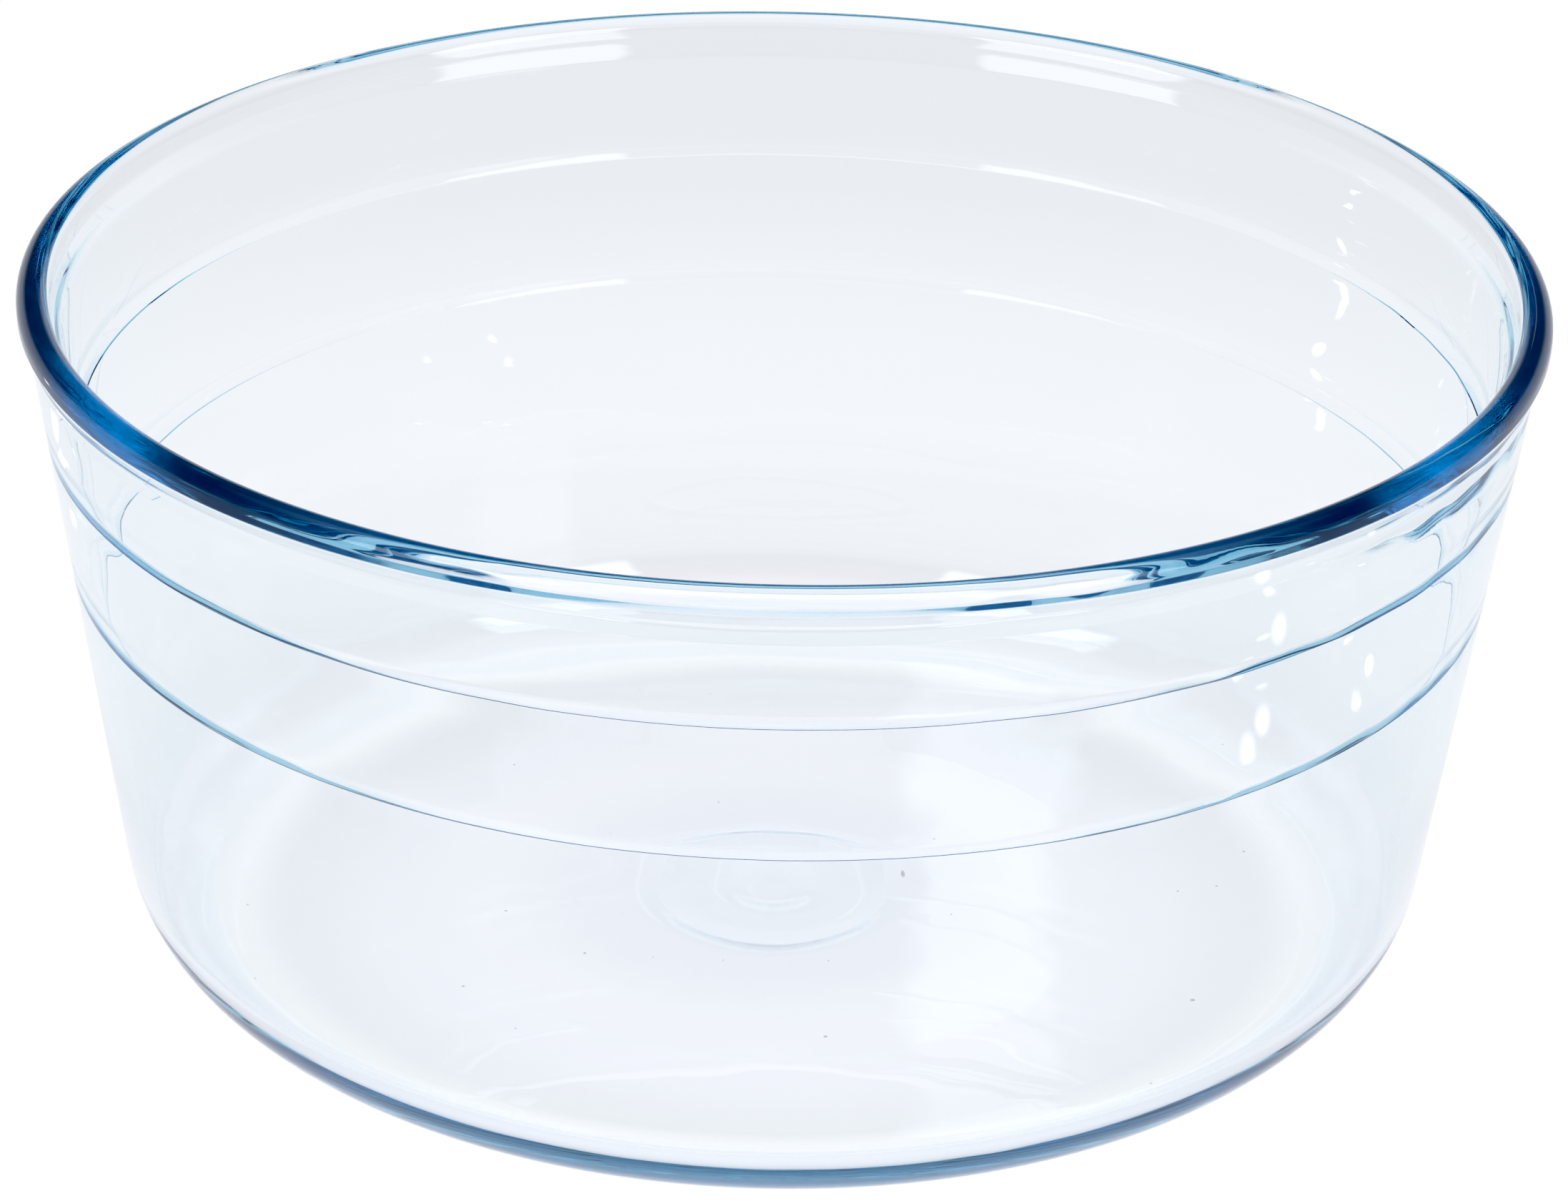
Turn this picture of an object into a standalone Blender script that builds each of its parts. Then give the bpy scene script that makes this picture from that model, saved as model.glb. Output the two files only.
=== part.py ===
"""Round, straight-sided pressed-glass dish with two shallow ledges in its inner wall.

One turned solid. The origin is on the axis, at the height of the foot's flat ring, and +Z is up.
"""

from math import cos, radians, sin, tan

import bmesh
import bpy
from mathutils import Matrix, Vector

MM = 0.001

# Driving dimensions, in metres.
HEIGHT = 98.8 * MM
RIM_RADIUS = 105.0 * MM
OUTER_DRAFT = radians(7.9)
OUTER_RADIUS_AT_FOOT = 90.8 * MM
INNER_DRAFT = radians(6.8)
TOP_LEDGE_RADIUS = 97.39 * MM
# The rim's section, from its inner side over the top: radius, height and fillet of each corner.
COLLAR = (99.22 * MM, 92.88 * MM, 5.34 * MM)
FLARE_END = (100.40 * MM, 95.26 * MM, 1.94 * MM)
RIM_INSIDE = (100.69 * MM, HEIGHT, 2.34 * MM)
RIM_OUTSIDE = (RIM_RADIUS, HEIGHT, 2.12 * MM)
RIM_UNDER = (RIM_RADIUS, 95.68 * MM, 0.62 * MM)
RIM_NECK = (104.14 * MM, 94.02 * MM, 1.23 * MM)
CREASE_HEIGHT = 91.18 * MM
CREASE_FILLET = 1.50 * MM
# Each ledge has a small step at the foot of a cove.
LEDGE_HEIGHTS = (77.5 * MM, 57.8 * MM)
LEDGE_WIDTH = 0.5 * MM
LEDGE_RISE = 1.6 * MM
LEDGE_STEP = 0.16 * MM
LEDGE_STEP_RISE = 0.12 * MM
FLOOR_HEIGHT = 6.0 * MM
INNER_FILLET = 10.0 * MM
HEEL_RADIUS = 17.4 * MM
FOOT_RING_WIDTH = 6.0 * MM
RECESS_DEPTH = 0.5 * MM
RECESS_SLOPE_WIDTH = 20.0 * MM

# Fineness of the facets.
SEGMENTS = 96
ARC_STEP = radians(14)
MERGE_DISTANCE = 0.01 * MM

GLASS_COLOUR = (0.86, 0.92, 0.97, 1.0)
GLASS_ROUGHNESS = 0.03
GLASS_IOR = 1.47


def clear_scene():
    for old in list(bpy.data.objects):
        bpy.data.objects.remove(old, do_unlink=True)


def glass_material():
    material = bpy.data.materials.new("clear_glass")
    material.use_nodes = True
    shader = material.node_tree.nodes["Principled BSDF"]
    shader.inputs["Base Color"].default_value = GLASS_COLOUR
    shader.inputs["Metallic"].default_value = 0.0
    shader.inputs["Roughness"].default_value = GLASS_ROUGHNESS
    shader.inputs["IOR"].default_value = GLASS_IOR
    shader.inputs["Transmission Weight"].default_value = 1.0
    return material


def outer_wall(height):
    """Radius of the outside cone at a height."""
    return OUTER_RADIUS_AT_FOOT + height * tan(OUTER_DRAFT)


def inner_wall(height, ledges_above):
    """Radius of the inside cone at a height, below the given number of ledges."""
    above_ledge = height - LEDGE_HEIGHTS[0]
    return TOP_LEDGE_RADIUS + above_ledge * tan(INNER_DRAFT) - ledges_above * LEDGE_WIDTH


def rounded(corners):
    """A line through the corners (radius, height, fillet), with each corner rounded by its fillet."""
    points = []
    for index, (radius, height, fillet) in enumerate(corners):
        here = Vector((radius, height))
        if fillet == 0.0:
            points.append(here)
            continue
        back = (Vector(corners[index - 1][:2]) - here).normalized()
        on = (Vector(corners[index + 1][:2]) - here).normalized()
        half = back.angle(on) / 2
        run = fillet / tan(half)
        centre = here + (back + on).normalized() * fillet / sin(half)
        start = here + back * run - centre
        sweep = start.angle_signed(here + on * run - centre)
        steps = max(1, round(abs(sweep) / ARC_STEP))
        for step in range(steps + 1):
            points.append(centre + Matrix.Rotation(-sweep * step / steps, 2) @ start)
    return points


def inside_corners():
    """From the floor's centre up the inner wall, over its ledges, to the rim's collar."""
    deepest = len(LEDGE_HEIGHTS)
    corners = [(0.0, FLOOR_HEIGHT, 0.0), (inner_wall(FLOOR_HEIGHT, deepest), FLOOR_HEIGHT, INNER_FILLET)]
    for above in range(deepest, 0, -1):
        foot = LEDGE_HEIGHTS[above - 1]
        top = foot + LEDGE_RISE
        corners.append((inner_wall(foot, above), foot, 0.0))
        corners.append((inner_wall(foot, above) + LEDGE_STEP, foot + LEDGE_STEP_RISE, 0.0))
        corners.append((inner_wall(top, above - 1), top, 0.0))
    return corners + [COLLAR]


def outside_corners():
    """Down the outer wall and round the heel, to the base's centre."""
    ring_inside = outer_wall(HEEL_RADIUS) - HEEL_RADIUS / cos(OUTER_DRAFT) - FOOT_RING_WIDTH
    return [
        (outer_wall(CREASE_HEIGHT), CREASE_HEIGHT, CREASE_FILLET),
        (outer_wall(0.0), 0.0, HEEL_RADIUS),
        (ring_inside, 0.0, 0.0),
        (ring_inside - RECESS_SLOPE_WIDTH, RECESS_DEPTH, 0.0),
        (0.0, RECESS_DEPTH, 0.0),
    ]


def turned_mesh(name, points):
    """An open line of points in the XZ plane, ready to be turned about Z."""
    line = bmesh.new()
    corners = [line.verts.new((point.x, 0.0, point.y)) for point in points]
    for start, end in zip(corners, corners[1:]):
        line.edges.new((start, end))
    mesh = bpy.data.meshes.new(name)
    line.to_mesh(mesh)
    line.free()
    return mesh


def make_dish():
    rim = [FLARE_END, RIM_INSIDE, RIM_OUTSIDE, RIM_UNDER, RIM_NECK]
    profile = rounded(inside_corners() + rim + outside_corners())
    dish = bpy.data.objects.new("dish", turned_mesh("dish", profile))
    bpy.context.scene.collection.objects.link(dish)
    turn = dish.modifiers.new("turn", "SCREW")
    turn.axis = "Z"
    turn.steps = SEGMENTS
    turn.render_steps = SEGMENTS
    turn.use_merge_vertices = True
    turn.merge_threshold = MERGE_DISTANCE
    turn.use_smooth_shade = True
    dish.data.materials.append(glass_material())


clear_scene()
make_dish()
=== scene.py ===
"""Looks of the round pressed-glass dish: its glass, and the pale studio that it stands in.

The dish is one closed surface, turned about Z from a half section and then made slightly uneven, as
pressed glass is. The studio shows plain white to the camera and its soft tones to all other light.
"""

from math import cos, exp, pi, radians, sin, tan

import bpy
from mathutils import Matrix, Vector, noise


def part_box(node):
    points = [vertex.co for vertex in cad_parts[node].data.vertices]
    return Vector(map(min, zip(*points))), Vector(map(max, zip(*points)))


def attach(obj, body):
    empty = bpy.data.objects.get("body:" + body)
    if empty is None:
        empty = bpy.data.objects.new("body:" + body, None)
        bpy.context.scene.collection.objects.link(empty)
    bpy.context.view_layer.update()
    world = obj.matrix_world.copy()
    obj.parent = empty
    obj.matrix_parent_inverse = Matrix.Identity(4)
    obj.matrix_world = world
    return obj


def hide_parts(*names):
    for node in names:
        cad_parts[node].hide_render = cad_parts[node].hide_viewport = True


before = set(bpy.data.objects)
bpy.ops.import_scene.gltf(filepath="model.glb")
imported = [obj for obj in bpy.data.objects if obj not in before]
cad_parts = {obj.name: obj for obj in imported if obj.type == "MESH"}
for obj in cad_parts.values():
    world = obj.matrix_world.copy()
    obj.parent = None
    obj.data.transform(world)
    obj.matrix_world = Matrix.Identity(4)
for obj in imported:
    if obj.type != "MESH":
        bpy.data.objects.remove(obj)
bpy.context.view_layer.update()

low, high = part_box("dish")

MM = 0.001
PHOTO_WIDTH = 2194

# Camera, from the dish's foot.
CAMERA_BACK = 0.68255
CAMERA_HEIGHT = 0.3764
CAMERA_PITCH = radians(-25.739)
CAMERA_YAW = radians(0.067)
CAMERA_ROLL = radians(1.288)
CAMERA_FOCAL_PIXELS = 7482.0
SENSOR_WIDTH = 36.0

# Section of the dish.
HEIGHT = high[2] - low[2]
RIM_RADIUS = (high[0] - low[0]) / 2
OUTER_DRAFT = radians(7.9)
OUTER_RADIUS_AT_FOOT = 90.8 * MM
INNER_DRAFT = radians(6.8)
LEDGE_RADIUS = 97.39 * MM
# Rim: the corners of its section, with their fillets.
COLLAR = (99.22 * MM, 92.88 * MM, 5.34 * MM)
FLARE_END = (100.40 * MM, 95.26 * MM, 1.94 * MM)
RIM_INSIDE = (100.69 * MM, HEIGHT, 2.34 * MM)
RIM_OUTSIDE = (RIM_RADIUS, HEIGHT, 2.12 * MM)
RIM_UNDER = (RIM_RADIUS, 95.68 * MM, 0.62 * MM)
RIM_NECK = (104.14 * MM, 94.02 * MM, 1.23 * MM)
CREASE_HEIGHT = 91.18 * MM
CREASE_FILLET = 1.50 * MM
# Ledges: a small sharp step at the foot of a wide cove.
LEDGE_HEIGHTS = (77.5 * MM, 57.8 * MM)
LEDGE_WIDTH = 0.5 * MM
LEDGE_RISE = 1.6 * MM
LEDGE_STEP = 0.16 * MM
LEDGE_STEP_RISE = 0.12 * MM
LEDGE_EDGE = 0.02 * MM
LEDGE_COVE = 5.0 * MM
FLOOR_HEIGHT = 6.0 * MM
INNER_FILLET = 10.0 * MM
HEEL_RADIUS = 17.4 * MM
FOOT_RING_WIDTH = 6.0 * MM
RECESS_DEPTH = 0.5 * MM
RECESS_SLOPE_WIDTH = 20.0 * MM
RECESS_FILLET = 4.0 * MM
# Mould mark: a ring and a disc, raised from the base.
MARK_RING = (17.5 * MM, 15.7 * MM)
MARK_DISC = 6.0 * MM
MARK_RELIEF = 0.12 * MM
MARK_EDGE = 0.7 * MM

# Studio: a pale glow round the horizon and overhead, dim between them, and soft windows.
STUDIO_COLOUR = (0.92, 0.95, 1.0, 1.0)
HORIZON_GLOW = 0.85
DIM_GLOW = 0.15
OVERHEAD_GLOW = 0.95
HORIZON_EDGE = (radians(6), radians(18))
OVERHEAD_EDGE = (radians(45), radians(60))
# Each window: azimuth from the camera's side, half width, lower and upper edge, blur, strength.
WINDOWS = (
    (radians(44.5), radians(15.8), radians(15), radians(38), radians(1.5), 4.0),
    (radians(-49.8), radians(17.3), radians(15), radians(38), radians(1.5), 4.0),
    (radians(48.0), radians(9.0), radians(5), radians(14), radians(3.0), 1.2),
    (radians(176.9), radians(1.05), radians(21), radians(33), radians(0.3), 0.6),
)
# Floor: its reach, the gap under the dish, and its tones by their distance from the dish's axis:
# painted caustic light under the dish, a painted shadow round its foot, and the plain floor tone
# farther out.
FLOOR_REACH = 3.0
FLOOR_GAP = 0.05 * MM
FLOOR_TONES_PAINTED_CAUSTIC_AND_SHADOW = (
    (0.010, (1.10, 1.075, 1.12)),
    (0.025, (1.125, 1.08, 1.135)),
    (0.042, (1.18, 1.13, 1.163)),
    (0.055, (1.155, 1.10, 1.15)),
    (0.070, (1.095, 1.06, 1.08)),
    (0.077, (1.20, 1.155, 1.165)),
    (0.083, (1.085, 1.06, 1.10)),
    (0.095, (0.96, 0.94, 0.985)),
    (0.115, (0.90, 0.90, 0.935)),
    (0.135, (0.937, 0.943, 0.968)),
    (0.170, (0.96, 0.952, 0.985)),
    (0.200, (0.95, 0.95, 0.98)),
    (0.320, (0.87, 0.87, 0.90)),
    (0.600, (0.87, 0.87, 0.90)),
)
# Small bright spots on the floor, which glint in the walls: across, along, radius, strength.
FLOOR_GLINTS = (
    (-329 * MM, 182 * MM, 13 * MM, 7.0),
    (-296 * MM, 160 * MM, 11 * MM, 7.0),
    (-180 * MM, 122 * MM, 9 * MM, 7.0),
    (176 * MM, -84 * MM, 5.5 * MM, 4.0),
    (153 * MM, -82 * MM, 5 * MM, 4.0),
    (174 * MM, -24 * MM, 4 * MM, 4.0),
)
GLINT_CORE = 0.3  # the share of a spot's radius that is at full strength

# Picture: the light level that is shown as black.
BLACK_LEVEL = 0.03

# Glass. Its depth colour is what is left of white light over a long way through it.
GLASS_IOR = 1.473
GLASS_DEPTH_COLOUR = (0.10, 0.62, 0.80, 1.0)
GLASS_DEPTH_DENSITY = 13.0
# Faint smudges: where the noise is between these levels, the glass turns slightly rough.
SMUDGE_SCALE = 24.0
SMUDGE_DETAIL = 4.0
SMUDGE_SPREAD = (0.50, 0.80)
SMUDGE_ROUGHNESS = 0.04
# Fine ripple of the mould.
RIPPLE_SCALE = 70.0
RIPPLE_DETAIL = 1.0
RIPPLE_DEPTH = 0.04 * MM
# Specks of dust, in the cells whose random number is over SPECK_CHOICE and which lie on the floor.
SPECK_SCALE = 85.0
SPECK_CHOICE = 0.55
SPECK_RADIUS = 0.35 * MM
SPECK_COLOUR = (0.35, 0.35, 0.38, 1.0)
SPECK_LAYER = 1.0 * MM

# Unevenness of the pressed wall, most of it on its right side. Each wave: depth, length and reach.
WALL_START = 80 * MM
WAVY_SIDE = radians(-15)
WAVY_SPREAD = radians(55)
CALM_SHARE = 0.2
COLLAR_WAVE = (0.5 * MM, 11 * MM, 3.0 * MM)
LEDGE_WAVE = (0.3 * MM, 11 * MM, 2.5 * MM)
LEDGE_RIPPLE = (0.16 * MM, 7 * MM, 1.6 * MM)
WALL_WAVE = (0.06 * MM, 30 * MM, 22 * MM)
# Groove under the collar on that side, with a wave of its own: how deep it is, and half its width.
GROOVE_HEIGHT = 90.2 * MM
GROOVE_DEPTH = 0.16 * MM
GROOVE_HALF = 0.32 * MM
GROOVE_WAVE = (1.3 * MM, 8 * MM, 2.0 * MM)
GROOVE_SIDE = radians(-31)
GROOVE_SPREAD = radians(16)
# Which part of the noise each wave is taken from.
HEIGHT_SEED = 3.1
WALL_SEED = 7.7
GROOVE_SEED = 5.3

# Fineness of the mesh, and how many times light is followed through the glass.
SEGMENTS = 480
ARC_STEP = radians(7.0)
LONGEST_RUN = 3.2 * MM
LIGHT_BOUNCES = 256


def outer_wall(height):
    """Radius of the outside cone at a height."""
    return OUTER_RADIUS_AT_FOOT + height * tan(OUTER_DRAFT)


def inner_wall(height, ledges_above):
    """Radius of the inside cone at a height, below the given number of ledges."""
    above_ledge = height - LEDGE_HEIGHTS[0]
    return LEDGE_RADIUS + above_ledge * tan(INNER_DRAFT) - ledges_above * LEDGE_WIDTH


def rounded(corners):
    """The line through corners of (radius, height, fillet), each rounded by its fillet."""
    points = []
    for index, (x, z, fillet) in enumerate(corners):
        here = Vector((x, z))
        if fillet == 0.0:
            points.append(here)
            continue
        back = (Vector(corners[index - 1][:2]) - here).normalized()
        on = (Vector(corners[index + 1][:2]) - here).normalized()
        half = back.angle(on) / 2
        run = fillet / tan(half)
        centre = here + (back + on).normalized() * fillet / sin(half)
        start = here + back * run - centre
        sweep = start.angle_signed(here + on * run - centre)
        steps = max(2, round(abs(sweep) / ARC_STEP))
        for step in range(steps + 1):
            points.append(centre + Matrix.Rotation(-sweep * step / steps, 2) @ start)
    return points


def evened(points):
    """The same line with its long straight runs cut up."""
    cut = [points[0]]
    for start, end in zip(points, points[1:]):
        pieces = max(1, round((end - start).length / LONGEST_RUN))
        for piece in range(1, pieces + 1):
            cut.append(start.lerp(end, piece / pieces))
    return cut


def section():
    """Half section, from the floor's centre over the rim to the base's centre."""
    deepest = len(LEDGE_HEIGHTS)
    floor_edge = inner_wall(FLOOR_HEIGHT, deepest)
    inner = [(0.0, FLOOR_HEIGHT, 0.0), (floor_edge, FLOOR_HEIGHT, INNER_FILLET)]
    for above in range(deepest, 0, -1):
        height = LEDGE_HEIGHTS[above - 1]
        edge = inner_wall(height, above)
        inner.append((edge, height, LEDGE_EDGE))
        inner.append((edge + LEDGE_STEP, height + LEDGE_STEP_RISE, LEDGE_EDGE))
        inner.append((inner_wall(height + LEDGE_RISE, above - 1), height + LEDGE_RISE, LEDGE_COVE))
    for height in (GROOVE_HEIGHT - GROOVE_HALF, GROOVE_HEIGHT, GROOVE_HEIGHT + GROOVE_HALF):
        inner.append((inner_wall(height, 0), height, 0.0))
    outer = [COLLAR, FLARE_END, RIM_INSIDE, RIM_OUTSIDE, RIM_UNDER, RIM_NECK]
    outer.append((outer_wall(CREASE_HEIGHT), CREASE_HEIGHT, CREASE_FILLET))
    outer.append((outer_wall(0.0), 0.0, HEEL_RADIUS))
    ring_inside = outer_wall(HEEL_RADIUS) - HEEL_RADIUS / cos(OUTER_DRAFT) - FOOT_RING_WIDTH
    outer.append((ring_inside, 0.0, RECESS_FILLET))
    outer.append((ring_inside - RECESS_SLOPE_WIDTH, RECESS_DEPTH, RECESS_FILLET))
    raised = RECESS_DEPTH - MARK_RELIEF
    outer.append((MARK_RING[0], RECESS_DEPTH, 0.0))
    outer.append((MARK_RING[0] - MARK_EDGE, raised, 0.0))
    outer.append((MARK_RING[1] + MARK_EDGE, raised, 0.0))
    outer.append((MARK_RING[1], RECESS_DEPTH, 0.0))
    outer.append((MARK_DISC, RECESS_DEPTH, 0.0))
    outer.append((MARK_DISC - MARK_EDGE, raised, 0.0))
    outer.append((0.0, raised, 0.0))
    return evened(rounded(inner + outer))


def turned(name, points):
    """A solid of revolution, uneven inside. The first and last points lie on the axis."""
    top = max(range(len(points)), key=lambda index: points[index].y)
    vertices = [(0.0, 0.0, points[0].y)]
    for index, point in enumerate(points[1:-1], start=1):
        for segment in range(SEGMENTS):
            angle = 2 * pi * segment / SEGMENTS
            out, up = wander(point, angle) if index < top else (0.0, 0.0)
            radius = point.x + out
            vertices.append((radius * cos(angle), radius * sin(angle), point.y + up))
    vertices.append((0.0, 0.0, points[-1].y))
    rings = len(points) - 2
    faces = []
    for segment in range(SEGMENTS):
        after = (segment + 1) % SEGMENTS
        faces.append((0, 1 + segment, 1 + after))
        for ring in range(rings - 1):
            near, far = 1 + ring * SEGMENTS + segment, 1 + ring * SEGMENTS + after
            faces.append((near, near + SEGMENTS, far + SEGMENTS, far))
        base = 1 + (rings - 1) * SEGMENTS
        faces.append((base + segment, len(vertices) - 1, base + after))
    mesh = bpy.data.meshes.new(name)
    mesh.from_pydata(vertices, [], faces)
    mesh.validate()
    mesh.shade_smooth()
    obj = bpy.data.objects.new(name, mesh)
    bpy.context.scene.collection.objects.link(obj)
    return obj


def glass_material():
    """Clear glass with a blue-green depth, faint smudges, a fine ripple and specks of dust."""
    material = bpy.data.materials.new("clear_glass")
    material.use_nodes = True
    tree = material.node_tree
    shader = tree.nodes["Principled BSDF"]
    shader.inputs["IOR"].default_value = GLASS_IOR
    shader.inputs["Transmission Weight"].default_value = 1.0
    place = tree.nodes.new("ShaderNodeTexCoord").outputs["Object"]
    smudge = texture(tree, "ShaderNodeTexNoise", place, SMUDGE_SCALE, detail=SMUDGE_DETAIL)
    smear = smooth_step(tree, smudge.outputs["Fac"], *SMUDGE_SPREAD, 0.0, SMUDGE_ROUGHNESS)
    tree.links.new(smear, shader.inputs["Roughness"])
    ripple = texture(tree, "ShaderNodeTexNoise", place, RIPPLE_SCALE, detail=RIPPLE_DETAIL)
    bump = tree.nodes.new("ShaderNodeBump")
    bump.inputs["Distance"].default_value = RIPPLE_DEPTH
    tree.links.new(ripple.outputs["Fac"], bump.inputs["Height"])
    tree.links.new(bump.outputs["Normal"], shader.inputs["Normal"])
    tree.links.new(speckled(tree, place), shader.inputs["Base Color"])
    volume = tree.nodes.new("ShaderNodeVolumeAbsorption")
    volume.inputs["Color"].default_value = GLASS_DEPTH_COLOUR
    volume.inputs["Density"].default_value = GLASS_DEPTH_DENSITY
    tree.links.new(volume.outputs[0], tree.nodes["Material Output"].inputs["Volume"])
    return material


def texture(tree, kind, place, scale, detail=0.0):
    """A texture node of the given kind, laid over the object."""
    node = tree.nodes.new(kind)
    node.inputs["Scale"].default_value = scale
    node.inputs["Detail"].default_value = detail
    tree.links.new(place, node.inputs["Vector"])
    return node


def speckled(tree, place):
    """White, with a few grey specks of dust on the dish's flat floor."""
    cells = texture(tree, "ShaderNodeTexVoronoi", place, SPECK_SCALE)
    cells.voronoi_dimensions = "2D"
    largest = SPECK_RADIUS * SPECK_SCALE
    size = smooth_step(tree, cells.outputs["Color"], SPECK_CHOICE, 1.0, 0.0, largest)
    dot = math_node(tree, "LESS_THAN", cells.outputs["Distance"], size)
    split = tree.nodes.new("ShaderNodeSeparateXYZ")
    tree.links.new(place, split.inputs[0])
    near_floor = math_node(tree, "COMPARE", split.outputs["Z"], FLOOR_HEIGHT, SPECK_LAYER)
    mix = tree.nodes.new("ShaderNodeMix")
    mix.data_type = "RGBA"
    tree.links.new(math_node(tree, "MULTIPLY", dot, near_floor), mix.inputs["Factor"])
    mix.inputs["A"].default_value = (1.0, 1.0, 1.0, 1.0)
    mix.inputs["B"].default_value = SPECK_COLOUR
    return mix.outputs["Result"]


def make_camera():
    data = bpy.data.cameras.new("camera")
    data.sensor_width = SENSOR_WIDTH
    data.lens = CAMERA_FOCAL_PIXELS / PHOTO_WIDTH * SENSOR_WIDTH
    camera = bpy.data.objects.new("camera", data)
    across, along = sin(CAMERA_YAW) * cos(CAMERA_PITCH), cos(CAMERA_YAW) * cos(CAMERA_PITCH)
    ahead = Vector((across, along, sin(CAMERA_PITCH)))
    level = ahead.cross(Vector((0.0, 0.0, 1.0))).normalized()
    raised = level.cross(ahead)
    right = level * cos(CAMERA_ROLL) + raised * sin(CAMERA_ROLL)
    up = raised * cos(CAMERA_ROLL) - level * sin(CAMERA_ROLL)
    turn = Matrix((right, up, -ahead)).transposed()
    camera.matrix_world = Matrix.Translation((0.0, -CAMERA_BACK, CAMERA_HEIGHT)) @ turn.to_4x4()
    bpy.context.scene.collection.objects.link(camera)
    bpy.context.scene.camera = camera


def feed(tree, value, socket):
    """Links another node's output to a socket, or sets the socket to a number or colour."""
    if hasattr(value, "is_output"):
        tree.links.new(value, socket)
    else:
        socket.default_value = value


def math_node(tree, operation, *values):
    """A sum in nodes; each value is a number or another node's output."""
    node = tree.nodes.new("ShaderNodeMath")
    node.operation = operation
    for value, socket in zip(values, node.inputs):
        feed(tree, value, socket)
    return node.outputs[0]


def smooth_step(tree, value, start, end, low_value=0.0, high_value=1.0):
    """Goes softly from the low value to the high one, while the input goes from start to end."""
    node = tree.nodes.new("ShaderNodeMapRange")
    node.interpolation_type = "SMOOTHSTEP"
    tree.links.new(value, node.inputs["Value"])
    limits = {"From Min": start, "From Max": end, "To Min": low_value, "To Max": high_value}
    for name, number in limits.items():
        node.inputs[name].default_value = number
    return node.outputs["Result"]


def seen_white(tree, colour, strength, output_name, output_socket):
    """Pure white where the camera looks straight at it, and the colour for all other light."""
    path = tree.nodes.new("ShaderNodeLightPath")
    kind = "ShaderNodeBackground" if output_name == "World Output" else "ShaderNodeEmission"
    plain = tree.nodes.new(kind)
    plain.inputs["Color"].default_value = (1.0, 1.0, 1.0, 1.0)
    toned = tree.nodes.new(kind)
    feed(tree, colour, toned.inputs["Color"])
    feed(tree, strength, toned.inputs["Strength"])
    mix = tree.nodes.new("ShaderNodeMixShader")
    tree.links.new(path.outputs["Is Camera Ray"], mix.inputs["Fac"])
    tree.links.new(toned.outputs[0], mix.inputs[1])
    tree.links.new(plain.outputs[0], mix.inputs[2])
    tree.links.new(mix.outputs[0], tree.nodes[output_name].inputs[output_socket])


def window(tree, azimuth, height, centre, half_width, low_edge, high_edge, blur, strength):
    """Light from a window in the studio. height is the sine of the elevation."""
    off = math_node(tree, "ABSOLUTE", math_node(tree, "SUBTRACT", azimuth, centre))
    across = smooth_step(tree, off, half_width - blur, half_width + blur, 1.0, 0.0)
    above = smooth_step(tree, height, sin(low_edge - blur), sin(low_edge + blur))
    below = smooth_step(tree, height, sin(high_edge - blur), sin(high_edge + blur), strength, 0.0)
    return math_node(tree, "MULTIPLY", math_node(tree, "MULTIPLY", across, above), below)


def make_world():
    world = bpy.data.worlds.new("studio")
    bpy.context.scene.world = world
    world.use_nodes = True
    tree = world.node_tree
    tree.nodes.remove(tree.nodes["Background"])
    where = tree.nodes.new("ShaderNodeTexCoord")
    split = tree.nodes.new("ShaderNodeSeparateXYZ")
    tree.links.new(where.outputs["Generated"], split.inputs[0])
    height = split.outputs["Z"]
    towards_camera = math_node(tree, "MULTIPLY", split.outputs["Y"], -1.0)
    azimuth = math_node(tree, "ARCTAN2", split.outputs["X"], towards_camera)
    strength = smooth_step(tree, height, *map(sin, HORIZON_EDGE), HORIZON_GLOW, DIM_GLOW)
    overhead = smooth_step(tree, height, *map(sin, OVERHEAD_EDGE), 0.0, OVERHEAD_GLOW)
    strength = math_node(tree, "ADD", strength, overhead)
    for shape in WINDOWS:
        strength = math_node(tree, "ADD", strength, window(tree, azimuth, height, *shape))
    seen_white(tree, STUDIO_COLOUR, strength, "World Output", "Surface")


def floor_material():
    """Tones that change with the distance from the dish's axis (painted caustic light under the
    dish, painted shadow round its foot), and the small bright spots.
    """
    material = bpy.data.materials.new("studio_floor")
    material.use_nodes = True
    tree = material.node_tree
    tree.nodes.remove(tree.nodes["Principled BSDF"])
    place = tree.nodes.new("ShaderNodeTexCoord").outputs["Object"]
    reach = tree.nodes.new("ShaderNodeVectorMath")
    reach.operation = "LENGTH"
    tree.links.new(place, reach.inputs[0])
    # Painted caustic light under the dish and painted shadow round its foot, by distance from the
    # axis.
    caustic_and_shadow_tone = tree.nodes.new("ShaderNodeValToRGB")
    caustic_and_shadow_tone.color_ramp.interpolation = "EASE"
    stops = caustic_and_shadow_tone.color_ramp.elements
    farthest = FLOOR_TONES_PAINTED_CAUSTIC_AND_SHADOW[-1][0]
    for index, (radius, colour) in enumerate(FLOOR_TONES_PAINTED_CAUSTIC_AND_SHADOW):
        stop = stops[index] if index < len(stops) else stops.new(1.0)
        stop.position = radius / farthest
        stop.color = (*colour, 1.0)
    tree.links.new(math_node(tree, "DIVIDE", reach.outputs["Value"], farthest), caustic_and_shadow_tone.inputs["Fac"])
    glow = 1.0
    for across, along, radius, strength in FLOOR_GLINTS:
        off = tree.nodes.new("ShaderNodeVectorMath")
        off.operation = "DISTANCE"
        tree.links.new(place, off.inputs[0])
        off.inputs[1].default_value = (across, along, 0.0)
        glint = smooth_step(tree, off.outputs["Value"], GLINT_CORE * radius, radius, strength, 0.0)
        glow = math_node(tree, "ADD", glint, glow)
    seen_white(tree, caustic_and_shadow_tone.outputs["Color"], glow, "Material Output", "Surface")
    return material


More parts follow.
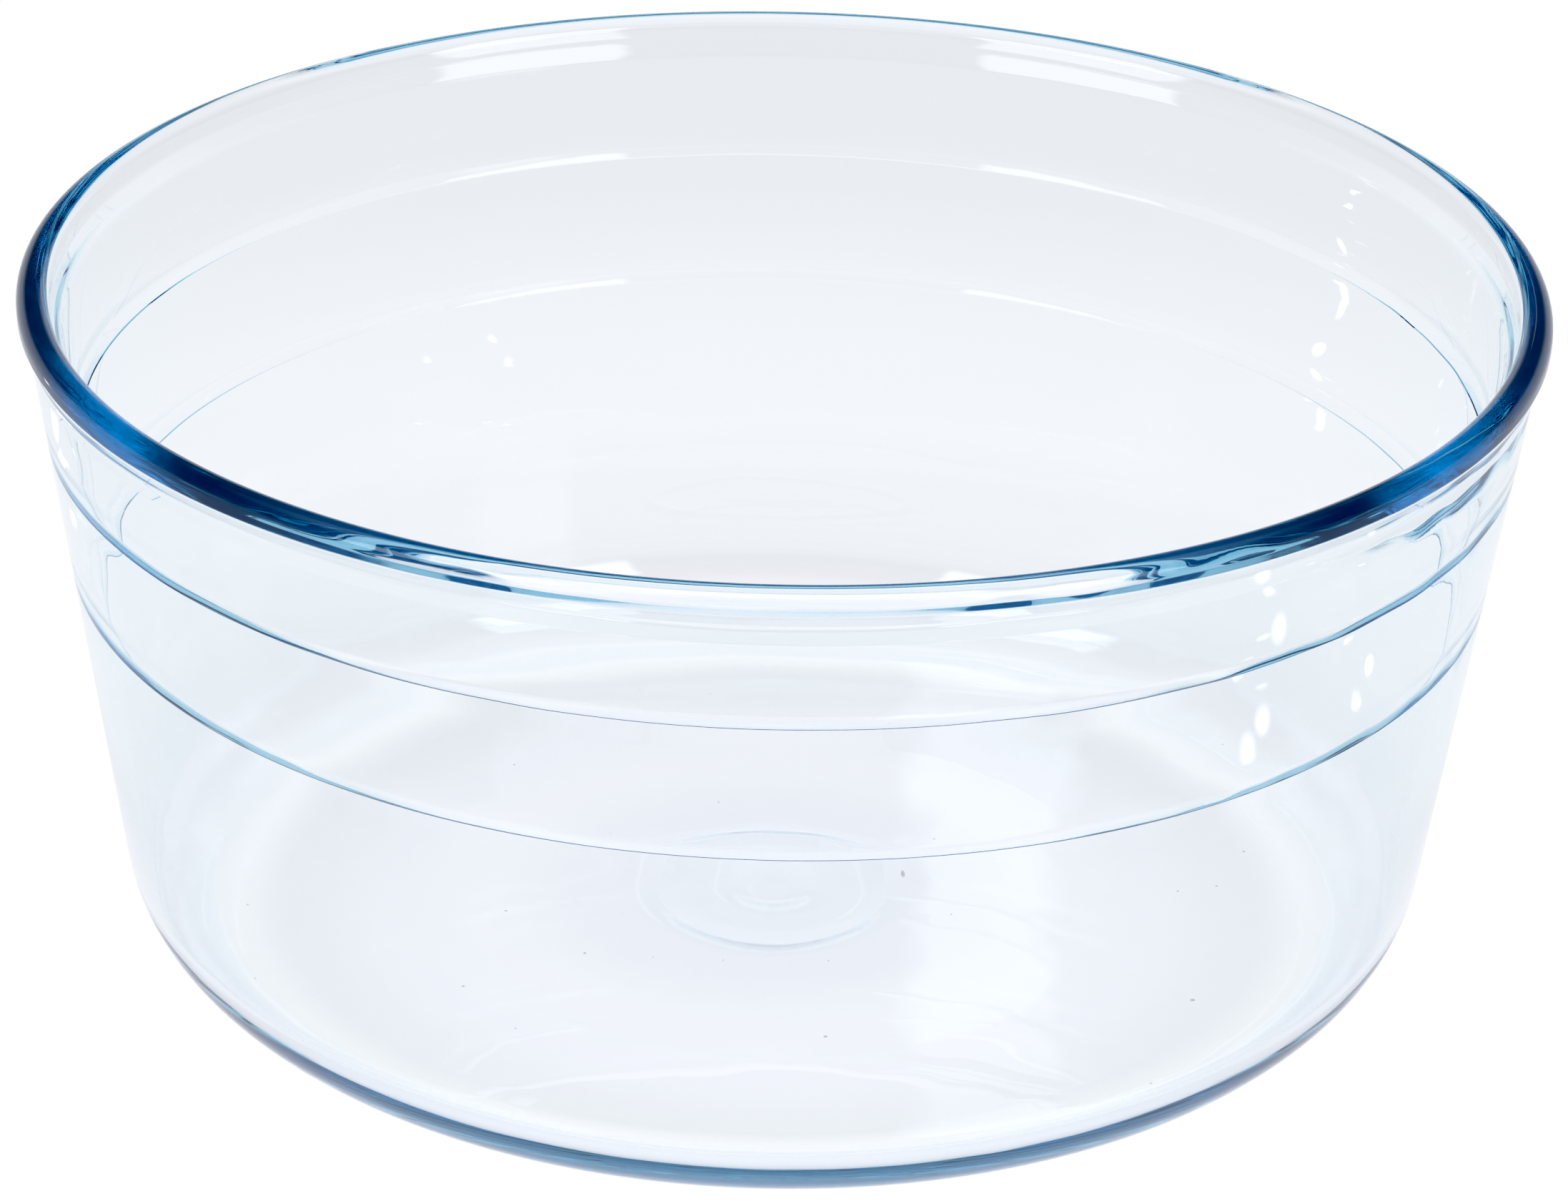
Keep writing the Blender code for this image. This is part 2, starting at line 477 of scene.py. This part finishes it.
def make_floor():
    mesh = bpy.data.meshes.new("studio_floor")
    sides = ((-1, -1), (1, -1), (1, 1), (-1, 1))
    corners = [(FLOOR_REACH * x, FLOOR_REACH * y, 0.0) for x, y in sides]
    mesh.from_pydata(corners, [], [(0, 1, 2, 3)])
    mesh.materials.append(floor_material())
    floor = bpy.data.objects.new("studio_floor", mesh)
    floor.location.z = -FLOOR_GAP
    bpy.context.scene.collection.objects.link(floor)


def hump(value, centre, width):
    """1 at the centre, falling off to 0 on both sides."""
    return exp(-((value - centre) / width) ** 2)


def off_side(angle, side):
    """Angle from a side of the dish, between half a turn back and half a turn on."""
    return (angle - side + pi) % (2 * pi) - pi


def wave(angle, wavelength, seed):
    """Smooth noise round the wall."""
    scale = RIM_RADIUS / wavelength
    return noise.noise(Vector((cos(angle) * scale, sin(angle) * scale, seed)))


def wander(point, angle):
    """How far the pressed glass strays out and up at a point of the inner wall."""
    if point.x < WALL_START:
        return 0.0, 0.0
    share = CALM_SHARE + (1.0 - CALM_SHARE) * hump(off_side(angle, WAVY_SIDE), 0.0, WAVY_SPREAD)
    depth, length, reach = COLLAR_WAVE
    up = depth * share * wave(angle, length, HEIGHT_SEED) * hump(point.y, COLLAR[1], reach)
    depth, length, reach = LEDGE_WAVE
    up += depth * share * wave(angle, length, HEIGHT_SEED) * hump(point.y, LEDGE_HEIGHTS[0], reach)
    depth, length, reach = WALL_WAVE
    out = depth * wave(angle, length, point.y / reach + WALL_SEED)
    side = hump(off_side(angle, GROOVE_SIDE), 0.0, GROOVE_SPREAD)
    out += GROOVE_DEPTH * side * hump(point.y, GROOVE_HEIGHT, GROOVE_HALF / 2)
    depth, length, reach = GROOVE_WAVE
    up += depth * side * wave(angle, length, GROOVE_SEED) * hump(point.y, GROOVE_HEIGHT, reach)
    depth, length, reach = LEDGE_RIPPLE
    for ledge in LEDGE_HEIGHTS:
        out += depth * share * wave(angle, length, ledge / MM) * hump(point.y, ledge, reach)
    return out, up


make_camera()
make_world()
make_floor()
dish = turned("glass_dish", section())
dish.data.materials.append(glass_material())
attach(dish, "root")
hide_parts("dish")

scene = bpy.context.scene
scene.view_settings.view_transform = "Standard"
scene.view_settings.use_curve_mapping = True
scene.view_settings.curve_mapping.black_level = (BLACK_LEVEL,) * 3
scene.view_settings.curve_mapping.update()
scene.cycles.max_bounces = LIGHT_BOUNCES
scene.cycles.transmission_bounces = LIGHT_BOUNCES
scene.cycles.glossy_bounces = LIGHT_BOUNCES
